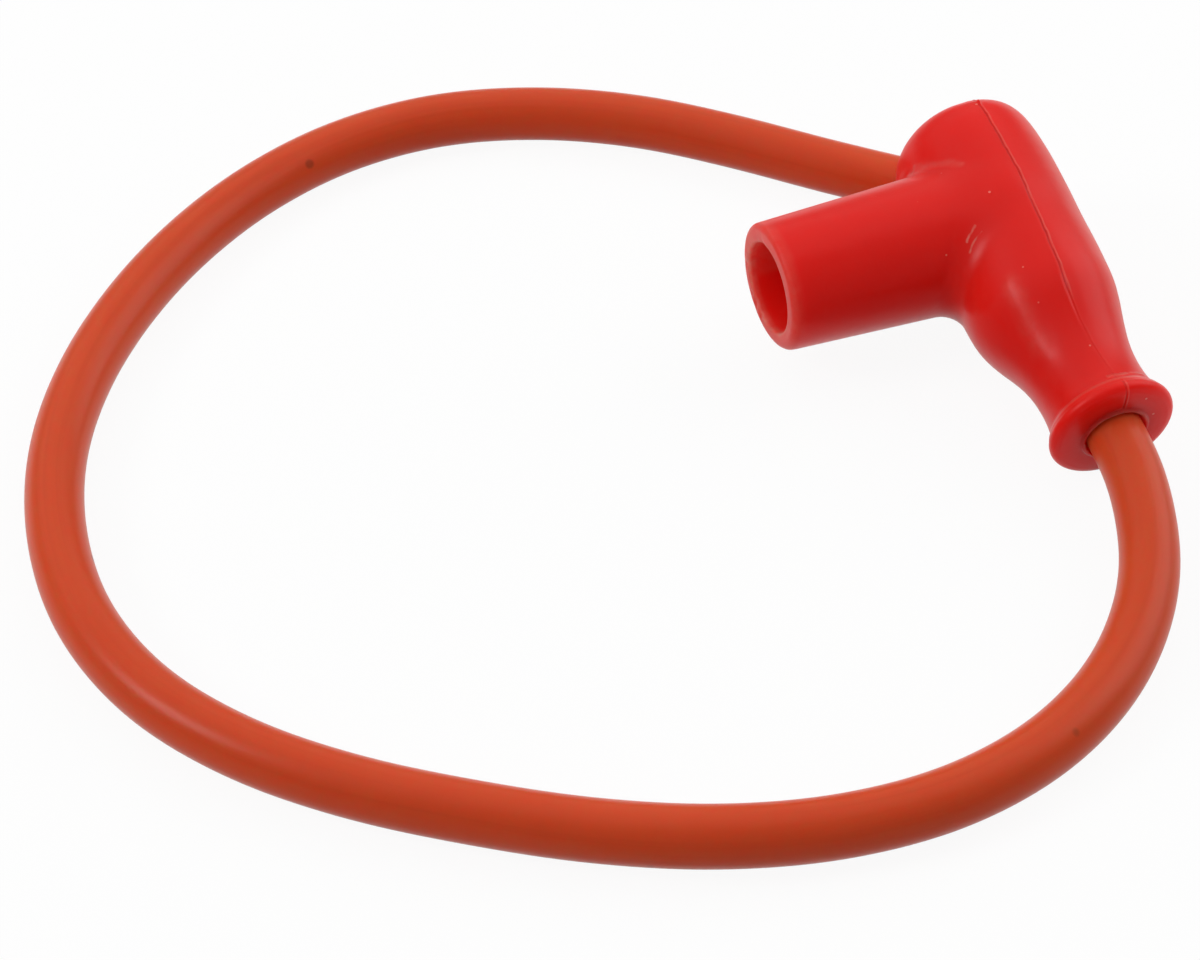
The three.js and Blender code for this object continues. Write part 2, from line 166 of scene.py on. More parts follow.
def smooth_line(points, spacing, evening):
    """The points' curve at an even spacing, with its bends evened out over a short distance."""
    points = np.array(points, float)
    ends = [2 * points[0] - points[1]], [2 * points[-1] - points[-2]]
    p = np.concatenate([ends[0], points, ends[1]])
    line = []
    for i in range(1, len(p) - 2):
        t = np.linspace(0, 1, 40, endpoint=False)[:, None]
        d0, d1, d2 = (max(np.linalg.norm(p[i + k] - p[i + k - 1]) ** 0.5, 1e-6) for k in (0, 1, 2))
        m1 = ((p[i] - p[i - 1]) / d0 - (p[i + 1] - p[i - 1]) / (d0 + d1) + (p[i + 1] - p[i]) / d1) * d1
        m2 = ((p[i + 1] - p[i]) / d1 - (p[i + 2] - p[i]) / (d1 + d2) + (p[i + 2] - p[i + 1]) / d2) * d1
        line.append((2 * t**3 - 3 * t**2 + 1) * p[i] + (t**3 - 2 * t**2 + t) * m1
                    + (3 * t**2 - 2 * t**3) * p[i + 1] + (t**3 - t**2) * m2)
    line = np.concatenate(line + [points[-1:]])
    run = np.concatenate([[0], np.cumsum(np.linalg.norm(np.diff(line, axis=0), axis=1))])
    even = np.linspace(0, run[-1], round(run[-1] / spacing) + 1)
    line = np.stack([np.interp(even, run, line[:, k]) for k in range(3)], 1)
    reach = round(3 * evening / spacing)
    weights = np.exp(-0.5 * (np.arange(-reach, reach + 1) * spacing / evening) ** 2)
    weights /= weights.sum()
    padded = np.concatenate([2 * line[0] - line[reach:0:-1], line, 2 * line[-1] - line[-2:-reach - 2:-1]])
    return np.stack([np.convolve(padded[:, k], weights, "valid") for k in range(3)], 1)


def cross_frames(line):
    """Each point's tangent, sideways and upward directions, with the upward one kept near the vertical."""
    tangent = np.gradient(line, axis=0)
    tangent /= np.linalg.norm(tangent, axis=1)[:, None]
    side = np.cross(tangent, [0, 0, 1])
    side /= np.linalg.norm(side, axis=1)[:, None]
    return tangent, side, np.cross(side, tangent)


def mesh_object(name, vertices, faces, material, uv=None):
    """A smooth mesh object at the origin. uv gives a pair of numbers for each vertex."""
    mesh = bpy.data.meshes.new(name)
    mesh.from_pydata(np.asarray(vertices).tolist(), [], faces)
    mesh.polygons.foreach_set("use_smooth", [True] * len(mesh.polygons))
    if uv is not None:
        layer = mesh.uv_layers.new(name="UVMap")
        corners = np.zeros(len(mesh.loops), np.int32)
        mesh.loops.foreach_get("vertex_index", corners)
        layer.data.foreach_set("uv", np.asarray(uv, np.float32)[corners].ravel())
    mesh.materials.append(material)
    made = bpy.data.objects.new(name, mesh)
    bpy.context.scene.collection.objects.link(made)
    return made


def closed_rings(ring_count, side_count):
    """Quads that join each ring of vertices to the next one, and the last to the first."""
    rows = np.arange(ring_count)[:, None] * side_count
    after = (rows + side_count) % (ring_count * side_count)
    side = np.arange(side_count)[None, :]
    beside = (side + 1) % side_count
    return np.stack([rows + side, after + side, after + beside, rows + beside], -1).reshape(-1, 4).tolist()


stops = [JACKET_START, (JACKET_START + FLANGE_LENGTH) / 2, FLANGE_LENGTH]
inside = [body_frame @ Vector((0, -stop, 0)) for stop in stops]
cable_line = smooth_line([tuple(p) for p in inside] + CABLE_RUN, LINE_STEP, BEND_EVENING)
tangent, side, up = cross_frames(cable_line)
CABLE_SIDES = 64
CUT_EDGE = 0.12 * MM
GIRTH = 22 * MM
turn = np.linspace(0, 2 * math.pi, CABLE_SIDES, endpoint=False)
stations = list(range(0, len(cable_line) - 1, 2))
last = len(cable_line) - 1
profile = [(i, 0.0, CABLE_RADIUS) for i in stations]
profile += [(last, -CUT_EDGE, CABLE_RADIUS), (last, -CUT_EDGE * 0.3, CABLE_RADIUS - CUT_EDGE * 0.3)]
profile += [(last, 0.0, CABLE_RADIUS - CUT_EDGE)]
profile += [(last, 0.0, r * MM) for r in (2.9, 2.3, 1.7, 1.2)]
profile += [(last, 0.0, CORE_BORE_RADIUS)]
profile += [(i, 0.0, CORE_BORE_RADIUS) for i in stations[::-1]]
profile += [(0, 0.0, r * MM) for r in (1.7, 2.6)]
# The UV map holds metres along the cable and metres round it, so the draw lines keep their width.
vertices, uv = [], []
for station, shift, radius in profile:
    centre = cable_line[station] + shift * tangent[station]
    ring = centre + radius * (np.outer(np.cos(turn), side[station]) + np.outer(np.sin(turn), up[station]))
    vertices.append(ring)
    uv.append(np.stack([np.full(CABLE_SIDES, station * LINE_STEP), turn / (2 * math.pi) * GIRTH], 1))
vertices = np.concatenate(vertices)

# Extruded silicone rubber: smooth, with a soft satin sheen, and translucent enough to keep its shade warm and red.
cable_silicone = bare_material("extruded orange silicone rubber")
tree = cable_silicone.node_tree
place = add_node(tree, "ShaderNodeTexCoord")
clouds = add_node(tree, "ShaderNodeTexNoise", {"Vector": place.outputs["Object"], "Scale": 60.0, "Detail": 3.0})
tone = add_node(tree, "ShaderNodeMix", {0: clouds.outputs["Fac"], 6: linear("#dc5428"), 7: linear("#d54e24")},
                data_type="RGBA")
# Fine draw lines from the die, along the cable and about 1 mm apart, and a few dark marks from handling.
drawn = add_node(tree, "ShaderNodeMapping", {"Vector": place.outputs["UV"], "Scale": (12.0, 1000.0, 1.0)})
lines = add_node(tree, "ShaderNodeTexNoise", {"Vector": drawn.outputs[0], "Scale": 1.0, "Detail": 2.0})
line_part = add_node(tree, "ShaderNodeMapRange", {"Value": lines.outputs["Fac"], 1: 0.5, 2: 0.75, 3: 0.0, 4: 0.35})
lined = add_node(tree, "ShaderNodeMix", {0: line_part.outputs[0], 6: tone.outputs[2], 7: linear("#c8451f")},
                 data_type="RGBA")
marks = add_node(tree, "ShaderNodeTexVoronoi", {"Vector": place.outputs["Object"], "Scale": 85.0})
near_mark = add_node(tree, "ShaderNodeMapRange", {
    "Value": marks.outputs["Distance"], 1: 0.035, 2: 0.065, 3: 0.55, 4: 0.0})
kept = add_node(tree, "ShaderNodeSeparateColor", {"Color": marks.outputs["Color"]})
few = add_node(tree, "ShaderNodeMath", {0: kept.outputs["Red"], 1: 0.5}, operation="GREATER_THAN")
mark_part = add_node(tree, "ShaderNodeMath", {0: near_mark.outputs[0], 1: few.outputs[0]}, operation="MULTIPLY")
tone = add_node(tree, "ShaderNodeMix", {0: mark_part.outputs[0], 6: lined.outputs[2], 7: linear("#7e3413")},
                data_type="RGBA")
grain = add_node(tree, "ShaderNodeTexNoise", {"Vector": place.outputs["Object"], "Scale": 2600.0, "Detail": 2.0})
bump = add_node(tree, "ShaderNodeBump", {"Height": grain.outputs["Fac"], "Strength": 0.05, "Distance": 0.0002})
rough = add_node(tree, "ShaderNodeMapRange", {"Value": clouds.outputs["Fac"], 3: 0.28, 4: 0.36})
skin = add_node(tree, "ShaderNodeBsdfPrincipled", {
    "Base Color": tone.outputs[2], "Roughness": rough.outputs[0], "Normal": bump.outputs[0], "IOR": 1.41,
    "Specular IOR Level": 0.25,
    "Subsurface Weight": 1.0, "Subsurface Radius": (1.0, 0.08, 0.04), "Subsurface Scale": 0.0035,
    "Sheen Weight": 0.06, "Sheen Roughness": 0.4, "Sheen Tint": linear("#ffe6dc")})
add_node(tree, "ShaderNodeOutputMaterial", {"Surface": skin.outputs[0]})

cable = mesh_object("cable", vertices, closed_rings(len(profile), CABLE_SIDES), cable_silicone,
                    np.concatenate(uv))
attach(cable, "root")
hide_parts("cable_jacket")


# Conductor: nineteen strands of tinned copper wire, twisted into a cord 1.6 mm thick. It shows at the cut end.
# Six strands lie round one and twelve round those, and they go round once in 14 mm. The strap is crimped on it.
STRAND_RADIUS = 0.16 * MM
LAY_LENGTH = 14 * MM
CRIMP_PLACE = 5.2 * MM

# Drawn copper wire with a thin coat of tin: a soft grey shine that is warmer where the coat is thin.
tinned_copper = bare_material("tinned copper wire")
tree = tinned_copper.node_tree
place = add_node(tree, "ShaderNodeTexCoord")
coat = add_node(tree, "ShaderNodeTexNoise", {"Vector": place.outputs["Object"], "Scale": 900.0, "Detail": 2.0})
tone = add_node(tree, "ShaderNodeMix", {0: coat.outputs["Fac"], 6: linear("#cdc6bd"), 7: linear("#bb9f88")},
                data_type="RGBA")
rough = add_node(tree, "ShaderNodeMapRange", {"Value": coat.outputs["Fac"], 3: 0.28, 4: 0.45})
wire = add_node(tree, "ShaderNodeBsdfPrincipled", {
    "Base Color": tone.outputs[2], "Roughness": rough.outputs[0], "Metallic": 1.0})
add_node(tree, "ShaderNodeOutputMaterial", {"Surface": wire.outputs[0]})

tree = bpy.data.node_groups.new("twisted strands", "GeometryNodeTree")
tree.interface.new_socket("Path", in_out="INPUT", socket_type="NodeSocketGeometry")
tree.interface.new_socket("Strand radius", in_out="INPUT", socket_type="NodeSocketFloat")
tree.interface.new_socket("Lay length", in_out="INPUT", socket_type="NodeSocketFloat")
tree.interface.new_socket("Wire", in_out="INPUT", socket_type="NodeSocketMaterial")
tree.interface.new_socket("Strands", in_out="OUTPUT", socket_type="NodeSocketGeometry")
entry = add_node(tree, "NodeGroupInput")
along = add_node(tree, "GeometryNodeSplineParameter")
turns = add_node(tree, "ShaderNodeMath", {0: along.outputs["Length"], 1: entry.outputs["Lay length"]},
                 operation="DIVIDE")
angle = add_node(tree, "ShaderNodeMath", {0: turns.outputs[0], 1: 2 * math.pi}, operation="MULTIPLY")
twisted = add_node(tree, "GeometryNodeSetCurveTilt", {"Curve": entry.outputs["Path"], "Tilt": angle.outputs[0]})
spots = add_node(tree, "GeometryNodeJoinGeometry")
middle = add_node(tree, "GeometryNodeMeshLine", {"Count": 1})
tree.links.new(middle.outputs["Mesh"], spots.inputs[0])
for strands, distance in ((6, 2.0), (12, 4.0)):
    out = add_node(tree, "ShaderNodeMath", {0: entry.outputs["Strand radius"], 1: distance}, operation="MULTIPLY")
    ring = add_node(tree, "GeometryNodeMeshCircle", {"Vertices": strands, "Radius": out.outputs[0]})
    tree.links.new(ring.outputs["Mesh"], spots.inputs[0])
strand = add_node(tree, "GeometryNodeCurvePrimitiveCircle", {
    "Resolution": 8, "Radius": entry.outputs["Strand radius"]})
placed = add_node(tree, "GeometryNodeInstanceOnPoints", {
    "Points": spots.outputs[0], "Instance": strand.outputs["Curve"]})
section = add_node(tree, "GeometryNodeRealizeInstances", {"Geometry": placed.outputs[0]})
tubes = add_node(tree, "GeometryNodeCurveToMesh", {
    "Curve": twisted.outputs[0], "Profile Curve": section.outputs[0], "Fill Caps": True})
rounded = add_node(tree, "GeometryNodeSetShadeSmooth", {"Geometry": tubes.outputs[0]})
real = add_node(tree, "GeometryNodeRealizeInstances", {"Geometry": rounded.outputs[0]})
drawn = add_node(tree, "GeometryNodeSetMaterial", {"Geometry": real.outputs[0], "Material": entry.outputs["Wire"]})
add_node(tree, "NodeGroupOutput", {0: drawn.outputs[0]})

start = [tuple(body_frame @ Vector((0, -stop, 0))) for stop in np.linspace(CRIMP_PLACE, JACKET_START, 6)[:-1]]
core_line = np.concatenate([start, cable_line[:-1:2], cable_line[-1:]])
path_curve = bpy.data.curves.new("conductor path", "CURVE")
path_curve.dimensions = "3D"
spline = path_curve.splines.new("POLY")
spline.points.add(len(core_line) - 1)
spline.points.foreach_set("co", np.c_[core_line, np.ones(len(core_line))].ravel())
path = bpy.data.objects.new("conductor path", path_curve)
bpy.context.scene.collection.objects.link(path)
twist = path.modifiers.new("strands", "NODES")
twist.node_group = tree
strand_sizes = {"Strand radius": STRAND_RADIUS, "Lay length": LAY_LENGTH, "Wire": tinned_copper}
for item in tree.interface.items_tree:
    if item.name in strand_sizes:
        twist[item.identifier] = strand_sizes[item.name]
bpy.context.view_layer.update()
strand_mesh = bpy.data.meshes.new_from_object(path.evaluated_get(bpy.context.evaluated_depsgraph_get()))
bpy.data.objects.remove(path)
core = bpy.data.objects.new("conductor_strands", strand_mesh)
bpy.context.scene.collection.objects.link(core)
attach(core, "root")
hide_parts("cable_core")


# Boot: one moulding of red silicone rubber, 2.5 to 5 mm thick, that slips over the plug's insulator and the cable.
# A round body with a domed head carries the socket at nearly a right angle, with a moulded fillet between them.
# The two halves of its mould met just behind the cable's axis, and left a fine line of flash over the body.
HEAD_LENGTH = 15.15
HEAD_EXPONENT = 5.2
HEAD_TILT = 0.012
BACK_FULLNESS = 0.034
BODY_HEIGHT_RATIO = 1.1
BODY_STATIONS = [0, 2.5, 5, 10, 15, 17.5, 20, 22.5, 25, 27.5, 29.2, 30.4, 31.4, 32.0]
BODY_RADII = [9.55, 9.5, 9.34, 9.2, 8.88, 8.38, 7.68, 7.05, 6.6, 6.46, 6.52, 6.65, 6.85, 7.1]
FRONT_SWELL = 0.075
FLANGE_RADIUS = 7.9
SOCKET_REACH = 31.4
SOCKET_ROOT_RADIUS = 9.2
SOCKET_MOUTH_RADIUS = 8.03
FILLET_BEFORE, FILLET_BEHIND = 2.6, 1.3
CABLE_HOLE_RADIUS = 3.72
PARTING_LENGTHS = [-15, -5, 2, 12, 19, 26, 34]
PARTING_OFFSETS = [1.2, 1.0, 0.8, 0.0, -0.4, 0.0, 0.5]


def even_line(points, spacing):
    """A line of [radius, length] points, resampled at nearly even steps."""
    points = np.array(points, float)
    run = np.concatenate([[0], np.cumsum(np.linalg.norm(np.diff(points, axis=0), axis=1))])
    even = np.linspace(0, run[-1], max(2, round(run[-1] / spacing) + 1))
    return np.stack([np.interp(even, run, points[:, k]) for k in range(2)], 1)


def arc(centre, radii, start, end, count):
    """Points of an ellipse's arc, in [radius, length]."""
    turns = np.radians(np.linspace(start, end, count))
    return [[centre[0] + radii[0] * math.cos(a), centre[1] + radii[1] * math.sin(a)] for a in turns]


def smooth_step(value, low, high):
    """0 below low, 1 above high, and an even slope between them."""
    t = np.clip((value - low) / (high - low), 0, 1)
    return t * t * (3 - 2 * t)


def evened(stations, values, spread, at):
    """The table's values at the asked stations, with its corners rounded."""
    offsets = np.linspace(-2, 2, 17) * spread
    weights = np.exp(-0.5 * (offsets / spread) ** 2)
    weights /= weights.sum()
    return sum(w * np.interp(at + o, stations, values) for o, w in zip(offsets, weights))


def body_radius(length):
    return evened(BODY_STATIONS, BODY_RADII, 0.9, np.clip(length, 0, 40))


def height_ratio(length):
    return 1 + (BODY_HEIGHT_RATIO - 1) * (1 - smooth_step(length, 15, 26)) - 0.014 * smooth_step(-length, 1, 8)


def front_swell(length):
    """How much wider the body is on the socket's side, where it goes from the socket down to the neck."""
    return FRONT_SWELL * smooth_step(length, 5, 14) * (1 - smooth_step(length, 14, 23))


def body_place(radius, length, angle):
    """Points of the body in the boot's own frame, in millimetres. Angle 0 faces the socket and 90 degrees is up."""
    full = BACK_FULLNESS * smooth_step(-length, -4, 6) * (np.cos(angle) < 0) * np.sin(2 * angle) ** 2
    radius = radius * (1 + full)
    x = -radius * np.cos(angle) * (1 + front_swell(length) * (np.cos(angle) > 0))
    z = radius * np.sin(angle) * height_ratio(length)
    z = z * np.where(z < 0, 1 - 0.05 * smooth_step(length, 29, 32.5), 1)
    tilt = HEAD_TILT * smooth_step(-length, 0, 8) * radius / BODY_RADII[0] * (1 - np.cos(angle))
    y = -length * (1 + tilt)
    return np.stack([x * math.cos(LEAN) + y * math.sin(LEAN), -x * math.sin(LEAN) + y * math.cos(LEAN), z], -1)


def cone_radius(reach):
    return SOCKET_ROOT_RADIUS + (SOCKET_MOUTH_RADIUS - SOCKET_ROOT_RADIUS) * reach / SOCKET_REACH


def blend_value(p):
    """About the distance from the filleted surface of body and socket, negative inside it."""
    x = p[..., 0] * math.cos(LEAN) - p[..., 1] * math.sin(LEAN)
    y = p[..., 0] * math.sin(LEAN) + p[..., 1] * math.cos(LEAN)
    length = -y
    around = np.hypot(x / (1 + front_swell(length) * (x < 0)), p[..., 2] / height_ratio(length))
    widest = body_radius(0.0)
    dome = ((around / widest) ** HEAD_EXPONENT + np.clip(-length / HEAD_LENGTH, 0, None) ** HEAD_EXPONENT)
    to_body = np.where(length > 0, around - body_radius(length), (dome ** (1 / HEAD_EXPONENT) - 1) * widest)
    reach = -p[..., 0]
    to_socket = np.hypot(p[..., 1], p[..., 2]) - cone_radius(reach) + 0.15 * np.minimum(reach, 0) ** 2
    k = FILLET_BEFORE + (FILLET_BEHIND - FILLET_BEFORE) * smooth_step(p[..., 1], -4, 6)
    rounded = np.hypot(np.maximum(k - to_body, 0), np.maximum(k - to_socket, 0))
    return np.maximum(k, np.minimum(to_body, to_socket)) - rounded


def onto_surface(p, rounds):
    """Moves points along the slope of blend_value until they lie on the surface."""
    step = 1e-3
    for _ in range(rounds):
        value = blend_value(p)
        slope = np.stack([(blend_value(p + step * np.eye(3)[k]) - value) / step for k in range(3)], -1)
        p = p - (value / np.maximum((slope ** 2).sum(-1), 0.2))[..., None] * slope
    return p


# The body's rings, from the head's pole to the flange's lip and back up the cable's hole.
RING_STEP, RIM_STEP = 0.36, 0.16
HOLE_END = 24.4
turns = np.linspace(0, math.pi / 2, 600)
dome = np.stack([body_radius(0.0) * np.sin(turns) ** (2 / HEAD_EXPONENT),
                 -HEAD_LENGTH * np.cos(turns) ** (2 / HEAD_EXPONENT)], 1)
dome = even_line(dome, RING_STEP)
lengths = np.linspace(0, 31.7, 92)[1:]
side_line = np.stack([body_radius(lengths), lengths], 1)
rim = [side_line[-1].tolist(), [7.3, 32.15], [7.55, 32.5]]
rim += arc((FLANGE_RADIUS - 0.9, 33.45), (0.9, 0.9), -38, 62, 16)
rim += [[6.9, 34.42], [6.0, 34.5], [5.2, 34.52], [4.6, 34.5], [4.35, 34.52]]
rim += arc((4.05, 34.56), (0.27, 0.3), 10, 180, 9)
rim = even_line(rim, RIM_STEP)
hole = np.stack([np.full(16, CABLE_HOLE_RADIUS), np.linspace(34.2, HOLE_END, 16)], 1)
body_line = np.concatenate([dome, side_line, rim[1:], hole])

# Angles: even over the socket's side, and close together where the parting line runs over the top and underneath.
PATCH_HALF = math.radians(86)
PATCH_START, PATCH_END = -12.9, 13.2
patch_angles = np.linspace(-PATCH_HALF, PATCH_HALF, 73)
fine = np.array([-0.9, -0.62, -0.42, -0.3, -0.22, -0.16, -0.11, -0.07, -0.035, 0, 0.035, 0.07, 0.11, 0.16, 0.22, 0.3,
                 0.42, 0.62, 0.9])


def parting_offset(length):
    return evened(PARTING_LENGTHS, PARTING_OFFSETS, 2.0, length)


def ring_angles(radius, length):
    """The angles of one ring's vertices, and each vertex's distance across the parting line."""
    offset = parting_offset(length) * min(1.0, radius / 5)
    line = math.pi / 2 + math.asin(min(1.0, offset / max(radius, 1e-6)))
    near = fine * min(1.0, radius / 6) / max(radius, 0.5)
    if line + near[0] <= PATCH_HALF + 0.01:
        near = near * (line - PATCH_HALF) * 0.8 / abs(near[0])
    before = np.linspace(PATCH_HALF, line + near[0], 6)[1:-1]
    behind = np.linspace(line + near[-1], math.pi, 20)[1:-1]
    top = np.concatenate([before, line + near, behind])
    across = np.concatenate([before - line, near, behind - line]) * radius
    angles = np.concatenate([patch_angles, top, [math.pi], (2 * math.pi - top)[::-1]])
    distance = np.concatenate([np.full(len(patch_angles), -9.0), across, [9.0], across[::-1]])
    return angles, distance


grid, crossing, facing = [], [], []
for radius, length in body_line:
    angles, distance = ring_angles(radius, length)
    grid.append(body_place(radius, length, angles))
    crossing.append(distance)
    facing.append(np.cos(angles))
grid, crossing = np.array(grid), np.array(crossing)
ring_count, side_count = crossing.shape
# The fillet reaches this many rings on each side of the dome's last one.
FILLET_RINGS_BEHIND, FILLET_RINGS_BEFORE = 45, 75
rows = slice(len(dome) - FILLET_RINGS_BEHIND, len(dome) + FILLET_RINGS_BEFORE)
beside_socket = smooth_step(np.array(facing)[rows], -0.15, 0.1)[..., None]
grid[rows] += (onto_surface(grid[rows], 6) - grid[rows]) * beside_socket

# The flash stands up from the body as a fine ridge, with a shallow groove in front of it and a small nub on the head.
lengths = body_line[:, 1]
strength = smooth_step(lengths, -14.6, -13.5) * (1 - 0.75 * smooth_step(lengths, 18, 21))
RINGS_TO_FACE = 14
on_face = np.arange(ring_count) > len(dome) + len(side_line) + RINGS_TO_FACE
strength = np.where(on_face & (lengths > 33) & (body_line[:, 0] > 4.2), 0.8, strength)
wander = 0.75 + 0.25 * np.sin(lengths * 1.7) * np.sin(lengths * 0.53 + 1) + 0.15 * np.sin(lengths * 7.3)
ridge = (0.06 * np.exp(-((crossing - 0.06) / 0.09) ** 2) - 0.09 * np.exp(-((crossing + 0.16) / 0.11) ** 2)
         ) * (strength * wander)[:, None]
nub = 0.42 * np.exp(-(crossing / 0.22) ** 2) * np.exp(-((lengths + 12.4) / 0.35) ** 2)[:, None]
outward = np.cross(np.gradient(grid, axis=0), np.roll(grid, -1, 1) - np.roll(grid, 1, 1))
outward /= np.maximum(np.linalg.norm(outward, axis=2), 1e-9)[..., None]
grid = grid + outward * (ridge + nub)[..., None]

# A patch of that grid gives way to the socket: rings run from the patch's edge to the socket's barrel.
columns = len(patch_angles)
row_a = int(np.argmin(abs(lengths[:len(dome)] - PATCH_START)))
row_b = len(dome) + int(np.argmin(abs(side_line[:, 1] - PATCH_END)))
edge = [(row_a, c) for c in range(columns)] + [(r, columns - 1) for r in range(row_a + 1, row_b)]
edge += [(row_b, c) for c in range(columns - 1, -1, -1)] + [(r, 0) for r in range(row_b - 1, row_a, -1)]
edge_points = np.array([grid[r, c] for r, c in edge])
JOIN_REACH = 15.2
bearing = np.unwrap(np.arctan2(edge_points[:, 2], edge_points[:, 1]))
sense = math.copysign(1, bearing[-1] - bearing[0])
edge_steps = np.linalg.norm(np.diff(edge_points, axis=0, append=edge_points[:1]), axis=1)
arc_run = np.concatenate([[0], np.cumsum(edge_steps)])
even_bearing = bearing.mean() - sense * math.pi + sense * 2 * math.pi * arc_run[:-1] / arc_run[-1]
even_bearing += (bearing - even_bearing).mean()
barrel_bearing = 0.5 * bearing + 0.5 * even_bearing


def barrel_ring(radius, reach):
    """A ring round the socket's axis. radius and reach are numbers, or one number for each vertex."""
    return np.stack([-reach * np.ones(len(barrel_bearing)), radius * np.cos(barrel_bearing),
                     radius * np.sin(barrel_bearing)], -1)


FLARE_RINGS = 34
join_ring = barrel_ring(cone_radius(JOIN_REACH), JOIN_REACH)
share = (np.arange(1, FLARE_RINGS) / FLARE_RINGS)[:, None, None]
flare = onto_surface(edge_points * (1 - share) + join_ring * share, 12)
for _ in range(60):
    whole = np.concatenate([edge_points[None], flare, join_ring[None]])
    across_mean = (np.roll(whole, 1, 1) + np.roll(whole, -1, 1))[1:-1] / 2
    flare = onto_surface(0.5 * flare + 0.2 * across_mean + 0.3 * (whole[:-2] + whole[2:]) / 2, 1)
flare = onto_surface(flare, 4)


def mouth_line(rounding):
    """The socket from where it joins the flare to its lip and down its bore, as [radius, reach]."""
    line = even_line([[cone_radius(JOIN_REACH), JOIN_REACH], [cone_radius(29.6), 29.6]], RING_STEP).tolist()
    line += arc((8.06 - rounding, SOCKET_REACH - rounding), (rounding, rounding), 2, 90, 16)
    line += [[6.45 - 0.1 * k, SOCKET_REACH] for k in range(3)]
    line += arc((6.15, 30.95), (0.45, 0.45), 90, 180, 9)[1:]
    return line + even_line([[5.69, 30.7], [5.62, 29.0], [5.2, 15.4], [4.93, 14.6], [4.93, 14.2]], 0.4).tolist()


sharp, soft = np.array(mouth_line(0.75)), np.array(mouth_line(1.5))
upper = (1 + np.sin(barrel_bearing)) / 2
barrel = np.array([barrel_ring(*(upper * a[:, None] + (1 - upper) * b[:, None])) for a, b in zip(sharp[1:], soft[1:])])

# Small nicks in the lip, where the moulding was torn from its core.
for bearing_deg, radius, depth, width in ((62, 5.9, 0.2, 0.4), (-18, 6.7, 0.2, 0.45), (-64, 6.2, 0.3, 0.6),
                                          (-52, 6.5, 0.2, 0.4), (-82, 6.0, 0.2, 0.45)):
    turn_to = math.radians(bearing_deg)
    spot = np.array([-SOCKET_REACH, radius * math.cos(turn_to), radius * math.sin(turn_to)])
    near = np.exp(-(np.linalg.norm(barrel - spot, axis=2) / width) ** 2)
    barrel[..., 0] += depth * near

# Quads, sewn where the patch's edge is shared, with each bore's end closed, in metres and in the lead's frame.
faces, vertices = [], [grid.reshape(-1, 3)]
for r in range(ring_count - 1):
    for c in range(side_count):
        if row_a <= r < row_b and c < columns - 1:
            continue
        n = (c + 1) % side_count
        faces.append((r * side_count + c, (r + 1) * side_count + c, (r + 1) * side_count + n, r * side_count + n))
offset = ring_count * side_count
spans = [[r * side_count + c for r, c in edge]]
for ring in [*flare, join_ring, *barrel]:
    spans.append(list(range(offset, offset + len(ring))))
    vertices.append(ring)
    offset += len(ring)
for low, high in zip(spans, spans[1:]):
    for i in range(len(low)):
        n = (i + 1) % len(low)
        faces.append((low[i], high[i], high[n], low[n]))
faces.append(tuple(spans[-1]))
faces.append(tuple(range(ring_count * side_count - 1, (ring_count - 1) * side_count - 1, -1)))
to_lead = np.array(boot_frame)
vertices = np.concatenate(vertices) * MM @ to_lead[:3, :3].T + to_lead[:3, 3]

# Moulded silicone rubber: translucent, so its shade stays a warm bright red, with a satin skin from the mould.
# Pale painted sheen and highlights lie on its lips, its thin edges, its rear flank and along a fold and its waist, and
# small pale specks of dust are sunk in the skin.
boot_silicone = bare_material("moulded red silicone rubber")
tree = boot_silicone.node_tree
place = add_node(tree, "ShaderNodeTexCoord")
clouds = add_node(tree, "ShaderNodeTexNoise", {"Vector": place.outputs["Object"], "Scale": 90.0, "Detail": 4.0})
tone = add_node(tree, "ShaderNodeMix", {0: clouds.outputs["Fac"], 6: linear("#f12119"), 7: linear("#e81d16")},
                data_type="RGBA")
# Marks on the skin, each a line in the boot's own frame, in mm: a fold and a ridge at the waist, both with a painted
# highlight, two scratches and a crease at the neck.
FOLD_HIGHLIGHT_MARK = [(-8.26, 8.49, 4.65), (-7.16, 6.53, 6.93), (-5.77, 5.22, 8.28), (-4.93, 3.78, 9.06)]
WAIST_HIGHLIGHT_MARK = [(-6.66, -14.76, 7.45), (-6.64, -16.87, 6.81), (-6.5, -19.76, 5.54), (-6.26, -22.87, 4.48)]
SCRATCH_MARKS = [[(-6.98, -5.11, 8.24), (-7.9, -5.9, 7.6), (-8.41, -6.58, 6.86)],
                 [(-6.67, -6.23, 8.03), (-8.5, -7.54, 6.27)]]
NECK_MARK = [(-1.78, -31.09, 6.8), (0.32, -31.41, 6.71), (3.12, -31.15, 5.26)]
wobble = add_node(tree, "ShaderNodeTexNoise", {"Vector": place.outputs["Object"], "Scale": 420.0, "Detail": 2.0})
centred = add_node(tree, "ShaderNodeVectorMath", {0: wobble.outputs["Color"], 1: (0.5,) * 3}, operation="SUBTRACT")
moved = add_node(tree, "ShaderNodeVectorMath", {0: centred.outputs[0], 1: (0.001,) * 3, 2: place.outputs["Object"]},
                 operation="MULTIPLY_ADD")


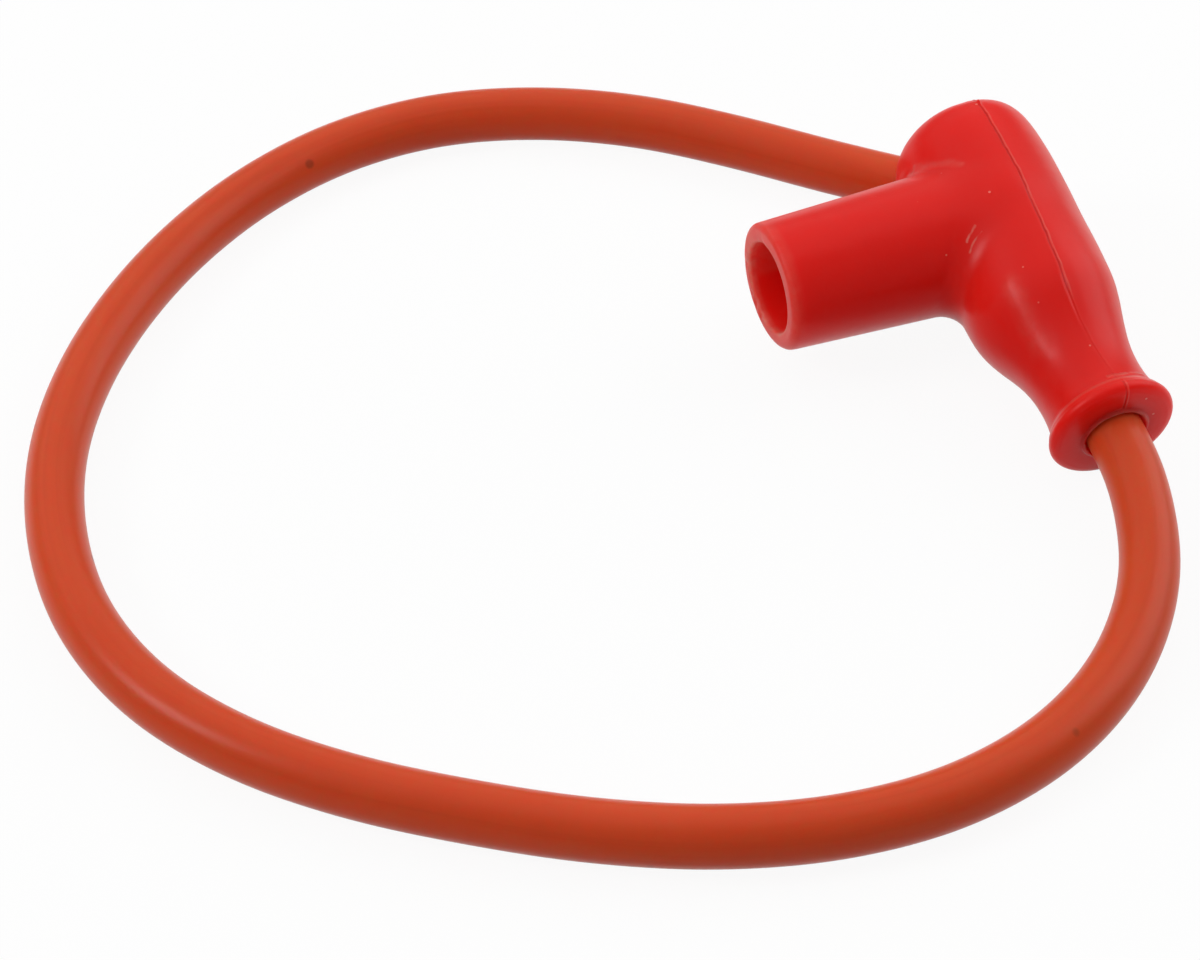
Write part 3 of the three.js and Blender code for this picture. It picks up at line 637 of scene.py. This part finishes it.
def stroke(marks, width, strong):
    """A mark that is strongest on the line through its points and fades at its width, in mm."""
    nearest = None
    for low, high in zip(marks[:-1], marks[1:]):
        low, high = boot_frame @ (Vector(low) * MM), boot_frame @ (Vector(high) * MM)
        way = high - low
        away = add_node(tree, "ShaderNodeVectorMath", {0: moved.outputs[0], 1: low}, operation="SUBTRACT")
        part = add_node(tree, "ShaderNodeVectorMath", {0: away.outputs[0], 1: way / way.length_squared},
                        operation="DOT_PRODUCT")
        part = add_node(tree, "ShaderNodeClamp", {"Value": part.outputs["Value"]})
        foot = add_node(tree, "ShaderNodeVectorMath", {0: way, "Scale": part.outputs[0]}, operation="SCALE")
        gap = add_node(tree, "ShaderNodeVectorMath", {0: away.outputs[0], 1: foot.outputs[0]}, operation="DISTANCE")
        nearest = gap.outputs["Value"] if nearest is None else add_node(
            tree, "ShaderNodeMath", {0: nearest, 1: gap.outputs["Value"]}, operation="MINIMUM").outputs[0]
    return add_node(tree, "ShaderNodeMapRange", {"Value": nearest, 1: 0.0, 2: width * MM, 3: strong, 4: 0.0},
                    interpolation_type="SMOOTHSTEP").outputs[0]


def total(first, *others):
    """The sum of the parts."""
    for other in others:
        first = add_node(tree, "ShaderNodeMath", {0: first, 1: other}, operation="ADD").outputs[0]
    return first


# The parting line: "seam" is the distance across it in mm. A thin dark line of painted shade in its groove, and a pale
# line of painted highlight on the flash at its rear side.
seam = add_node(tree, "ShaderNodeAttribute", attribute_name="seam")
seam_part = add_node(tree, "ShaderNodeAttribute", attribute_name="seam_part")
ragged = add_node(tree, "ShaderNodeMath", {0: wobble.outputs["Fac"], 1: 0.5, 2: -0.25}, operation="MULTIPLY_ADD")
across = add_node(tree, "ShaderNodeMath", {0: seam.outputs["Fac"], 1: ragged.outputs[0]}, operation="ADD")


def seam_line(place_across, width, strong):
    """A line along the parting line, this far behind it, that fades at its width, in mm."""
    gap = add_node(tree, "ShaderNodeMath", {0: across.outputs[0], 1: place_across}, operation="SUBTRACT")
    size = add_node(tree, "ShaderNodeMath", {0: gap.outputs[0]}, operation="ABSOLUTE")
    line = add_node(tree, "ShaderNodeMapRange", {"Value": size.outputs[0], 1: 0.0, 2: width, 3: strong, 4: 0.0},
                    interpolation_type="SMOOTHSTEP")
    return add_node(tree, "ShaderNodeMath", {0: line.outputs[0], 1: seam_part.outputs["Fac"]},
                    operation="MULTIPLY").outputs[0]


# Painted shade darkens the groove, and a painted highlight lightens the flash behind it.
seam_painted_shade = seam_line(-0.14, 0.22, 0.45)
seam_painted_highlight = seam_line(0.12, 0.2, 0.25)
shaded = add_node(tree, "ShaderNodeMix", {0: seam_painted_shade, 6: tone.outputs[2], 7: linear("#a00d0b")}, data_type="RGBA")
# The fold and the waist each carry a pale painted highlight as well as their relief.
fold_and_highlight, waist_and_highlight, crease = stroke(FOLD_HIGHLIGHT_MARK, 0.9, 1.0), stroke(WAIST_HIGHLIGHT_MARK, 2.2, 1.0), stroke(NECK_MARK, 0.4, 1.0)
scratches = total(stroke(SCRATCH_MARKS[0], 0.22, 1.0), stroke(SCRATCH_MARKS[1], 0.22, 0.8))
# The pale part: painted highlights on the fold, the waist and the flash, with the neck's crease and the scratches.
painted_highlights_and_marks = total(*[add_node(tree, "ShaderNodeMath", {0: part, 1: strong}, operation="MULTIPLY").outputs[0]
               for part, strong in ((fold_and_highlight, 0.12), (waist_and_highlight, 0.1), (crease, 0.25), (scratches, 0.7))], seam_painted_highlight)
# Painted sheen and highlights, with the scratches, turn the red towards a pale pink, in patches.
painted_sheen = add_node(tree, "ShaderNodeAttribute", attribute_name="painted_sheen")
sheen_patch_noise = add_node(tree, "ShaderNodeTexNoise", {"Vector": place.outputs["Object"], "Scale": 700.0, "Detail": 3.0})
sheen_patches = add_node(tree, "ShaderNodeMapRange", {"Value": sheen_patch_noise.outputs["Fac"], 1: 0.3, 2: 0.7, 3: 0.55, 4: 1.2})
painted_sheen_and_marks = total(painted_sheen.outputs["Fac"], painted_highlights_and_marks)
sheen_and_mark_part = add_node(tree, "ShaderNodeMath", {0: painted_sheen_and_marks, 1: sheen_patches.outputs[0]}, operation="MULTIPLY",
                      use_clamp=True)
sheen_and_marks_mixed = add_node(tree, "ShaderNodeMix", {0: sheen_and_mark_part.outputs[0], 6: shaded.outputs[2], 7: linear("#ee9c8c")},
                   data_type="RGBA")
# The cells are 4 mm wide, and most of them hold a speck that is 0.3 mm across.
dust = add_node(tree, "ShaderNodeTexVoronoi", {"Vector": place.outputs["Object"], "Scale": 250.0})
near_dust = add_node(tree, "ShaderNodeMapRange", {
    "Value": dust.outputs["Distance"], 1: 0.03, 2: 0.05, 3: 0.75, 4: 0.0})
kept = add_node(tree, "ShaderNodeSeparateColor", {"Color": dust.outputs["Color"]})
few = add_node(tree, "ShaderNodeMath", {0: kept.outputs["Red"], 1: 0.12}, operation="GREATER_THAN")
speck_part = add_node(tree, "ShaderNodeMath", {0: near_dust.outputs[0], 1: few.outputs[0]}, operation="MULTIPLY")
specked = add_node(tree, "ShaderNodeMix", {0: speck_part.outputs[0], 6: sheen_and_marks_mixed.outputs[2], 7: linear("#ffa596")},
                   data_type="RGBA")
grain = add_node(tree, "ShaderNodeTexNoise", {"Vector": place.outputs["Object"], "Scale": 2200.0, "Detail": 2.0})
fine_bump = add_node(tree, "ShaderNodeBump", {"Height": grain.outputs["Fac"], "Strength": 0.06, "Distance": 0.0002})
waves = add_node(tree, "ShaderNodeTexNoise", {"Vector": place.outputs["Object"], "Scale": 330.0, "Detail": 1.0})
wavy = add_node(tree, "ShaderNodeBump", {
    "Height": waves.outputs["Fac"], "Normal": fine_bump.outputs[0], "Strength": 0.12, "Distance": 0.0004})
relief = total(fold_and_highlight, crease, waist_and_highlight)
bump = add_node(tree, "ShaderNodeBump", {
    "Height": relief, "Normal": wavy.outputs[0], "Strength": 0.6, "Distance": 0.0002})
base_rough = add_node(tree, "ShaderNodeMapRange", {"Value": clouds.outputs["Fac"], 3: 0.28, 4: 0.38})
rough = add_node(tree, "ShaderNodeMath", {0: sheen_and_mark_part.outputs[0], 1: 0.35, 2: base_rough.outputs[0]},
                 operation="MULTIPLY_ADD")
skin = add_node(tree, "ShaderNodeBsdfPrincipled", {
    "Base Color": specked.outputs[2], "Roughness": rough.outputs[0], "Normal": bump.outputs[0], "IOR": 1.41,
    "Specular IOR Level": 0.25, "Subsurface Weight": 1.0, "Subsurface Radius": (1.0, 0.06, 0.05),
    "Subsurface Scale": 0.006, "Sheen Weight": 0.08, "Sheen Roughness": 0.4, "Sheen Tint": linear("#ffdcd2")})
add_node(tree, "ShaderNodeOutputMaterial", {"Surface": skin.outputs[0]})

boot = mesh_object("plug_boot", vertices, faces, boot_silicone)

# The dome's pole becomes one vertex, the grid's unused vertices under the socket go, and every face looks out.
sewn = bmesh.new()
sewn.from_mesh(boot.data)
bmesh.ops.delete(sewn, geom=[v for v in sewn.verts if not v.link_faces], context="VERTS")
bmesh.ops.remove_doubles(sewn, verts=sewn.verts, dist=0.001 * MM)
bmesh.ops.recalc_face_normals(sewn, faces=sewn.faces)
sewn.to_mesh(boot.data)
sewn.free()


def rod(frame_of, axis, low, high, radius):
    """A closed cylinder along x or y of a frame, between two places in millimetres."""
    made = bmesh.new()
    bmesh.ops.create_cone(made, cap_ends=True, segments=72, radius1=radius, radius2=radius, depth=high - low)
    turned = Matrix.Rotation(math.radians(90), 4, "Y" if axis == 0 else "X")
    middle = Vector([(low + high) / 2 if k == axis else 0.0 for k in range(3)])
    made.transform(frame_of @ Matrix.Scale(MM, 4) @ Matrix.Translation(middle) @ turned)
    mesh = bpy.data.meshes.new("hollow")
    made.to_mesh(mesh)
    made.free()
    hollow = bpy.data.objects.new("hollow", mesh)
    bpy.context.scene.collection.objects.link(hollow)
    return hollow


# The hollow inside for the brass parts: the strap's pocket, the terminal's hole and the rest of the cable's hole.
POCKET_RADIUS = 5.06
TERMINAL_HOLE_RADIUS = 4.85
REAR_HOLE_RADIUS = 3.66
hollows = [rod(body_frame, 1, -18.7, 5.3, POCKET_RADIUS), rod(boot_frame, 0, -14.7, 0.0, TERMINAL_HOLE_RADIUS),
           rod(body_frame, 1, -25.2, -18.0, REAR_HOLE_RADIUS)]
for hollow in hollows:
    cut = boot.modifiers.new("cut", "BOOLEAN")
    cut.operation = "DIFFERENCE"
    cut.solver = "MANIFOLD"
    cut.object = hollow
bpy.context.view_layer.update()
cut_mesh = bpy.data.meshes.new_from_object(boot.evaluated_get(bpy.context.evaluated_depsgraph_get()))
boot.modifiers.clear()
boot.data = cut_mesh
for hollow in hollows:
    bpy.data.objects.remove(hollow)

# What the skin's material reads: the painted sheen and highlights on lips, socket, rear flank and flange, and the
# place of the parting line.
spots = np.zeros(len(cut_mesh.vertices) * 3)
cut_mesh.vertices.foreach_get("co", spots)
spots = (spots.reshape(-1, 3) - to_lead[:3, 3]) @ to_lead[:3, :3] / MM
back = spots[:, 0] * math.cos(LEAN) - spots[:, 1] * math.sin(LEAN)
length = -(spots[:, 0] * math.sin(LEAN) + spots[:, 1] * math.cos(LEAN))
around = np.hypot(back, spots[:, 2] / height_ratio(length))
reach, out = -spots[:, 0], np.hypot(spots[:, 1], spots[:, 2])
# Pale painted sheen and highlights on the socket's lip and side, the flange's rim and lip, and the rear flank.
painted_sheen_values = 0.16 * smooth_step(reach, 30.0, 31.0) * smooth_step(out, 5.3, 5.8)
painted_sheen_values += 0.35 * smooth_step(reach, 30.5, 30.8) * np.exp(-((out - 5.85) / 0.2) ** 2)
painted_sheen_values += 0.2 * smooth_step(reach, 10, 14) * smooth_step(spots[:, 1] / out, 0.75, 1.0)
painted_sheen_values += 0.2 * np.exp(-((length - 32.2) / 0.35) ** 2 - ((around - 7.35) / 0.35) ** 2) * smooth_step(spots[:, 2], 1, 5)
painted_sheen_values += 0.4 * np.exp(-((around - 3.95) / 0.25) ** 2 - ((length - 34.82) / 0.3) ** 2) * smooth_step(spots[:, 2], 0, 3)
painted_sheen_values += 0.22 * smooth_step(back, 3.5, 8.0) * smooth_step(spots[:, 2], -4, 2) * (1 - smooth_step(length, 30, 32))
shown = smooth_step(abs(spots[:, 2]), 2.5, 4.5) * (reach < 8) * smooth_step(around, 4.2, 5)
shown *= np.where(length > 33, 0.9, 1 - 0.85 * smooth_step(length, 17.5, 20.5))
for name, values in (("painted_sheen", painted_sheen_values), ("seam", back - parting_offset(length)), ("seam_part", shown)):
    layer = cut_mesh.attributes.new(name, "FLOAT", "POINT")
    layer.data.foreach_set("value", values.astype(np.float32))
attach(boot, "root")
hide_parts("boot")


# Plug terminal: a brass sleeve, turned from rod and slit so that it springs over the plug's terminal nut.
# It is riveted to the strap through its closed back, and can be seen down the socket.
# Turned brass: a clear yellow shine with fine rings round the plug's axis, 0.3 mm apart so that they show.
turned_brass = bare_material("turned brass")
tree = turned_brass.node_tree
place = add_node(tree, "ShaderNodeTexCoord")
dull = add_node(tree, "ShaderNodeTexNoise", {"Vector": place.outputs["Object"], "Scale": 450.0, "Detail": 3.0})
tone = add_node(tree, "ShaderNodeMix", {0: dull.outputs["Fac"], 6: linear("#dcb871"), 7: linear("#c29a54")},
                data_type="RGBA")
rings = add_node(tree, "ShaderNodeTexWave", {"Vector": place.outputs["Object"], "Scale": 1047.0, "Distortion": 0.4},
                 bands_direction="X")
bump = add_node(tree, "ShaderNodeBump", {"Height": rings.outputs["Fac"], "Strength": 0.15, "Distance": 0.00003})
rough = add_node(tree, "ShaderNodeMapRange", {"Value": dull.outputs["Fac"], 3: 0.22, 4: 0.4})
metal = add_node(tree, "ShaderNodeBsdfPrincipled", {
    "Base Color": tone.outputs[2], "Roughness": rough.outputs[0], "Normal": bump.outputs[0], "Metallic": 1.0})
add_node(tree, "ShaderNodeOutputMaterial", {"Surface": metal.outputs[0]})
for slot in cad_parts["plug_terminal"].material_slots:
    slot.material = turned_brass


# Terminal clip: an open ring of spring wire, 0.7 mm thick, that sits in the sleeve's groove and keeps it closed.
# Drawn spring steel: a grey shine, made uneven by a little oil.
spring_steel = bare_material("drawn spring steel")
tree = spring_steel.node_tree
place = add_node(tree, "ShaderNodeTexCoord")
oil = add_node(tree, "ShaderNodeTexNoise", {"Vector": place.outputs["Object"], "Scale": 1200.0, "Detail": 3.0})
tone = add_node(tree, "ShaderNodeMix", {0: oil.outputs["Fac"], 6: linear("#b9bcc1"), 7: linear("#92959a")},
                data_type="RGBA")
rough = add_node(tree, "ShaderNodeMapRange", {"Value": oil.outputs["Fac"], 3: 0.2, 4: 0.38})
metal = add_node(tree, "ShaderNodeBsdfPrincipled", {
    "Base Color": tone.outputs[2], "Roughness": rough.outputs[0], "Metallic": 1.0})
add_node(tree, "ShaderNodeOutputMaterial", {"Surface": metal.outputs[0]})
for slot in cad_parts["terminal_clip"].material_slots:
    slot.material = spring_steel


# Crimp strap: one strip of brass, stamped and bent. Its pad is riveted to the terminal, and its two barrels are
# crimped on the conductor and on the cable's jacket. The boot hides it.
# Rolled brass strip: duller than the turned sleeve, with grain along the strip.
rolled_brass = bare_material("rolled brass strip")
tree = rolled_brass.node_tree
place = add_node(tree, "ShaderNodeTexCoord")
stretched = add_node(tree, "ShaderNodeMapping", {"Vector": place.outputs["Object"], "Scale": (2500.0, 180.0, 2500.0)})
grain = add_node(tree, "ShaderNodeTexNoise", {"Vector": stretched.outputs[0], "Scale": 1.0, "Detail": 3.0})
tone = add_node(tree, "ShaderNodeMix", {0: grain.outputs["Fac"], 6: linear("#d2ad68"), 7: linear("#b58d4b")},
                data_type="RGBA")
bump = add_node(tree, "ShaderNodeBump", {"Height": grain.outputs["Fac"], "Strength": 0.2, "Distance": 0.00003})
rough = add_node(tree, "ShaderNodeMapRange", {"Value": grain.outputs["Fac"], 3: 0.3, 4: 0.5})
metal = add_node(tree, "ShaderNodeBsdfPrincipled", {
    "Base Color": tone.outputs[2], "Roughness": rough.outputs[0], "Normal": bump.outputs[0], "Metallic": 1.0})
add_node(tree, "ShaderNodeOutputMaterial", {"Surface": metal.outputs[0]})
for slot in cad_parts["crimp_strap"].material_slots:
    slot.material = rolled_brass
